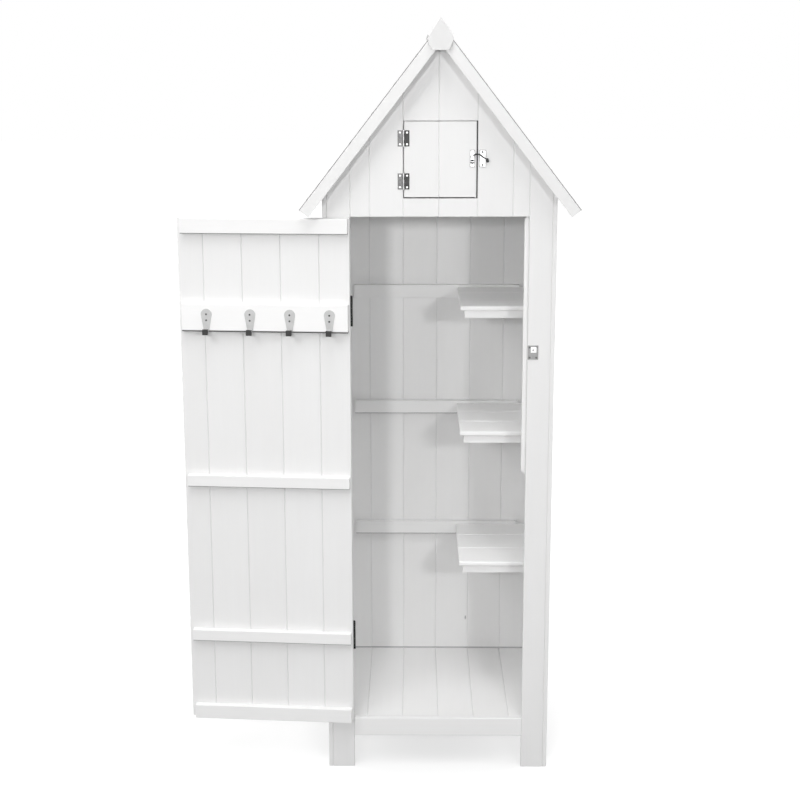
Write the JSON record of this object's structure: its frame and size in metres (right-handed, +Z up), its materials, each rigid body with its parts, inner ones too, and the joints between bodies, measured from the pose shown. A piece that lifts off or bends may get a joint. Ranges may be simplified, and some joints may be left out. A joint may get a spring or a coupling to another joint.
{
  "type": "garden storage cabinet",
  "caption": "Tall narrow garden cabinet on legs with a steep gable roof, a boarded door with coat hooks on its inside, side shelves and a small latched door in the gable.",
  "frame": {"origin": "on the ground, midway between the four feet", "axes": "+X to the right seen from the front, +Y from the front to the back, +Z up; the doors are on the -Y side"},
  "size_m": [0.9148, 0.54, 1.7901],
  "materials": {
    "painted_wood": "opaque white paint, satin",
    "roof_felt": "mineral roofing felt, matt dark grey",
    "zinc_steel": "zinc-plated, satin",
    "screw_steel": "zinc-plated, satin",
    "black_steel": "black coating, satin",
    "hook_enamel": "light grey enamel, satin",
    "black_plastic": "black moulded, matt"
  },
  "bodies": {
    "cabinet": {"apron": "painted_wood", "back_battens": "painted_wood", "back_wall_boards": "painted_wood", "barge_back_left": "painted_wood", "barge_back_right": "painted_wood", "barge_front_left": "painted_wood", "barge_front_right": "painted_wood", "door_hinge_pins": "black_steel", "door_stop_strip": "painted_wood", "finial_plate": "painted_wood", "floor_bearers": "painted_wood", "floor_boards": "painted_wood", "frame_screws": "screw_steel", "gable_boards": "painted_wood", "gable_door_jambs": "painted_wood", "gable_hinge_leaves": "black_steel", "gable_hinge_pins": "black_steel", "gable_keeper": "zinc_steel", "lintel_batten": "painted_wood", "loft_floor_boards": "painted_wood", "post_back_left": "painted_wood", "post_back_right": "painted_wood", "post_front_left": "painted_wood", "post_front_right": "painted_wood", "post_hinge_leaves": "black_steel", "post_keeper": "zinc_steel", "rafters": "painted_wood", "ridge_batten": "painted_wood", "ridge_caps": "painted_wood", "roof_felt": "roof_felt", "roof_left_boards": "painted_wood", "roof_right_boards": "painted_wood", "shelf_cleats": "painted_wood", "shelf_lower_battens": "painted_wood", "shelf_lower_boards": "painted_wood", "shelf_middle_battens": "painted_wood", "shelf_middle_boards": "painted_wood", "shelf_upper_battens": "painted_wood", "shelf_upper_boards": "painted_wood", "side_wall_left_boards": "painted_wood", "side_wall_right_boards": "painted_wood", "wall_plates": "painted_wood"},
    "door": {"door_boards": "painted_wood", "door_battens": "painted_wood", "hook_board": "painted_wood", "coat_hooks": "hook_enamel", "coat_hook_caps": "black_plastic", "coat_hook_screws": "screw_steel", "door_hinge_leaves": "black_steel", "door_latch_plate": "zinc_steel", "door_screws": "screw_steel"},
    "door_latch": {"door_latch_arm": "zinc_steel", "door_latch_tip": "black_plastic"},
    "gable_door": {"gable_door_boards": "painted_wood", "gable_door_battens": "painted_wood", "gable_door_hinge_leaves": "black_steel", "gable_latch_plate": "zinc_steel", "gable_door_screws": "screw_steel"},
    "gable_latch": {"gable_latch_arm": "zinc_steel", "gable_latch_tip": "black_plastic"}
  },
  "joints": [
    {"name": "door_hinge", "type": "hinge", "parent": "cabinet", "child": "door", "pos_m": [-0.2019, -0.2235, 0.74], "axis": [0, 0, 1], "range_deg": [0, 184]},
    {"name": "gable_door_hinge", "type": "hinge", "parent": "cabinet", "child": "gable_door", "pos_m": [-0.08185, -0.2226, 1.4795], "axis": [0, 0, -1], "range_deg": [0, 120]},
    {"name": "door_latch_pivot", "type": "hinge", "parent": "door", "child": "door_latch", "pos_m": [-0.58976, -0.19648, 1.04513], "axis": [0.0698, 0.9976, 0], "range_deg": [-255, 45]},
    {"name": "gable_latch_pivot", "type": "hinge", "parent": "gable_door", "child": "gable_latch", "pos_m": [0.0728, -0.2234, 1.4871], "axis": [0, -1, 0], "range_deg": [0, 295]}
  ]
}
